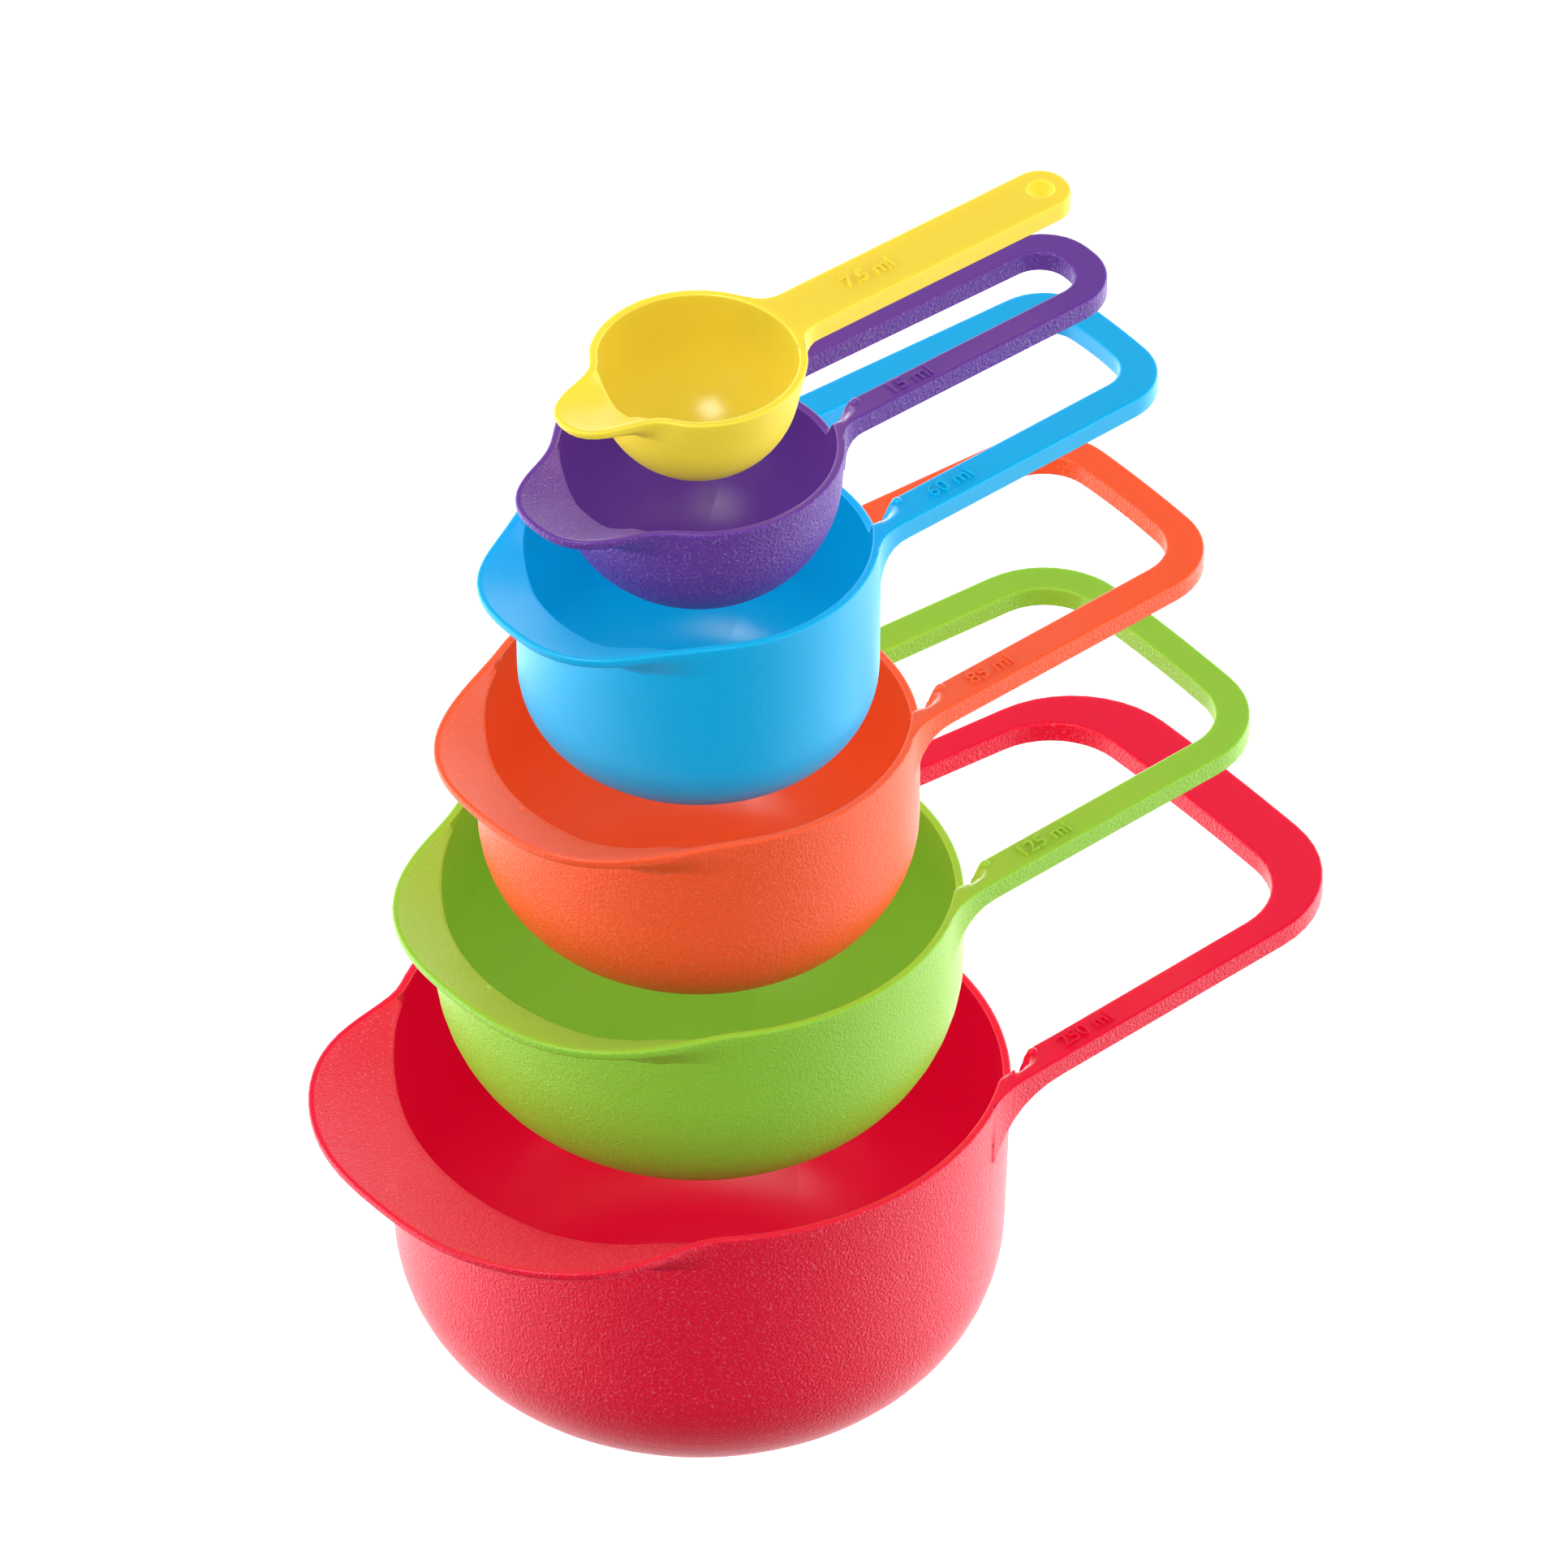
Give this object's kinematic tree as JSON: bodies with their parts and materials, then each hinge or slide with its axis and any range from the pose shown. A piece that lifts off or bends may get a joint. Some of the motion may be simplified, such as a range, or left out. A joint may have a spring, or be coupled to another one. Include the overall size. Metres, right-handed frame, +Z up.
{
  "type": "measuring cup set",
  "caption": "Nesting measuring cups, each with a rounded bowl, a pouring lip and a flat looped handle, drawn apart one above the other on a common axis.",
  "frame": {"origin": "centre of the flat underside of the largest cup, on the common axis of the bowls", "axes": "+Z up the common axis of the bowls, +X from the bowls towards the handles, pouring lips towards -X"},
  "size_m": [0.1605, 0.092, 0.1822],
  "materials": {
    "red_plastic": "fine spark-eroded grain outside, gloss inside",
    "green_plastic": "fine spark-eroded grain outside, gloss inside",
    "orange_plastic": "fine spark-eroded grain outside, gloss inside",
    "blue_plastic": "satin outside, gloss inside",
    "purple_plastic": "fine spark-eroded grain outside, gloss inside",
    "yellow_plastic": "satin outside, gloss inside"
  },
  "bodies": {
    "cup_250ml": {"cup_250ml": "red_plastic"},
    "cup_125ml": {"cup_125ml": "green_plastic"},
    "cup_85ml": {"cup_85ml": "orange_plastic"},
    "cup_60ml": {"cup_60ml": "blue_plastic"},
    "cup_15ml": {"cup_15ml": "purple_plastic"},
    "cup_7_5ml": {"cup_7_5ml": "yellow_plastic"}
  },
  "joints": [
    {"name": "nest_125ml", "type": "slide", "parent": "cup_250ml", "child": "cup_125ml", "axis": [0, 0, 1], "range_m": [-0.0324, 0]},
    {"name": "nest_85ml", "type": "slide", "parent": "cup_125ml", "child": "cup_85ml", "axis": [0, 0, 1], "range_m": [-0.0306, 0]},
    {"name": "nest_60ml", "type": "slide", "parent": "cup_85ml", "child": "cup_60ml", "axis": [0, 0, 1], "range_m": [-0.032, 0]},
    {"name": "nest_15ml", "type": "slide", "parent": "cup_60ml", "child": "cup_15ml", "axis": [0, 0, 1], "range_m": [-0.0169, 0]},
    {"name": "nest_7_5ml", "type": "slide", "parent": "cup_15ml", "child": "cup_7_5ml", "axis": [0, 0, 1], "range_m": [-0.0159, 0]}
  ]
}
